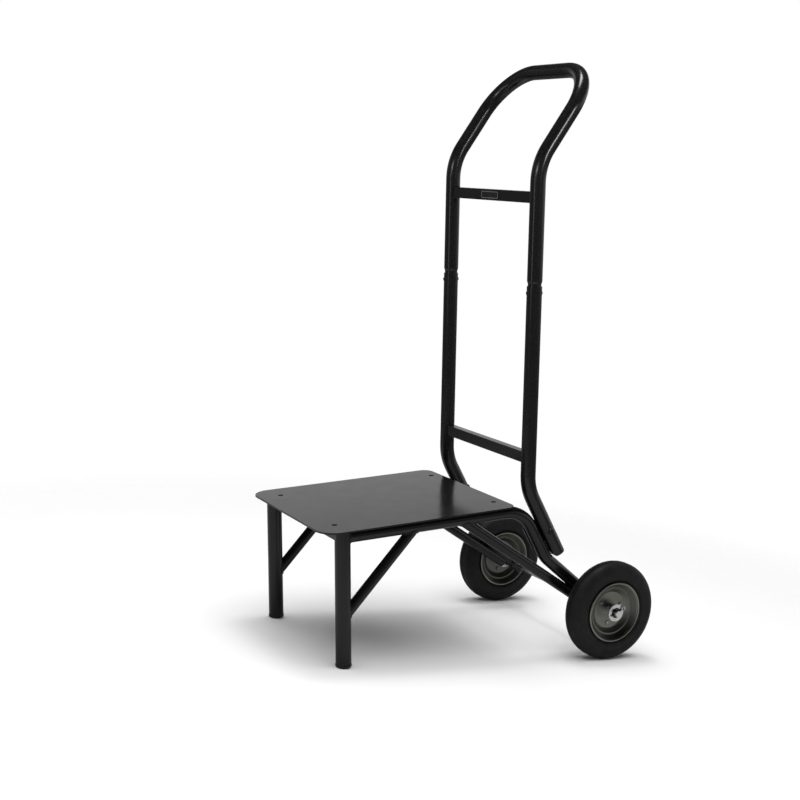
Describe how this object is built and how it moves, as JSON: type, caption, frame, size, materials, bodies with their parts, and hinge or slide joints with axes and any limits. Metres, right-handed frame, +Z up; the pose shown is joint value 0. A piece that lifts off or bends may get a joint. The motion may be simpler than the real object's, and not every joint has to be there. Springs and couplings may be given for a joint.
{
  "type": "stacking chair trolley",
  "caption": "Hand truck for a stack of chairs: flat deck on a bent tube frame with front legs, rubber-tyred wheels behind, and a tall handle leaning back to a rounded grip.",
  "frame": {"origin": "on the floor, under the middle of the overall box", "axes": "+Z up, front of the deck toward -Y, +X to the left of the person pushing"},
  "size_m": [0.4824, 0.753, 1.1867],
  "materials": {
    "frame_paint": "gloss",
    "deck_paint": "gloss",
    "tyre_rubber": "matte",
    "rim_paint": "satin",
    "plug_plastic": "matte",
    "zinc_steel": "bright zinc",
    "bolt_black": "satin"
  },
  "bodies": {
    "frame": {"handle_loop": "frame_paint", "upper_crossbar": "frame_paint", "lower_crossbar": "frame_paint", "upright_left": "frame_paint", "upright_right": "frame_paint", "upright_plug_left": "plug_plastic", "upright_plug_right": "plug_plastic", "deck_plate": "deck_paint", "deck_bearer_front": "frame_paint", "deck_bearer_rear": "frame_paint", "side_rail_left": "frame_paint", "side_rail_right": "frame_paint", "rail_plug_left": "plug_plastic", "rail_plug_right": "plug_plastic", "front_leg_left": "frame_paint", "front_leg_right": "frame_paint", "foot_left": "plug_plastic", "foot_right": "plug_plastic", "front_brace_left": "frame_paint", "front_brace_right": "frame_paint", "rear_brace_left": "frame_paint", "rear_brace_right": "frame_paint", "upright_bracket_left": "frame_paint", "upright_bracket_right": "frame_paint", "axle": "zinc_steel", "axle_spacer_left": "zinc_steel", "axle_spacer_right": "zinc_steel", "axle_washers": "zinc_steel", "cotter_pins": "zinc_steel", "deck_screws": "bolt_black", "handle_rivets": "bolt_black", "foot_bolts": "bolt_black", "foot_nuts": "zinc_steel"},
    "wheel_left": {"tyre_left": "tyre_rubber", "rim_outer_left": "rim_paint", "rim_inner_left": "rim_paint", "hub_left": "zinc_steel", "rim_rivets_left": "rim_paint"},
    "wheel_right": {"tyre_right": "tyre_rubber", "rim_outer_right": "rim_paint", "rim_inner_right": "rim_paint", "hub_right": "zinc_steel", "rim_rivets_right": "rim_paint"}
  },
  "joints": [
    {"name": "wheel_left_spin", "type": "hinge", "parent": "frame", "child": "wheel_left", "pos_m": [0.2079, 0.27485, 0.1016], "axis": [1, 0, 0], "continuous": true},
    {"name": "wheel_right_spin", "type": "hinge", "parent": "frame", "child": "wheel_right", "pos_m": [-0.2079, 0.27485, 0.1016], "axis": [1, 0, 0], "continuous": true}
  ]
}
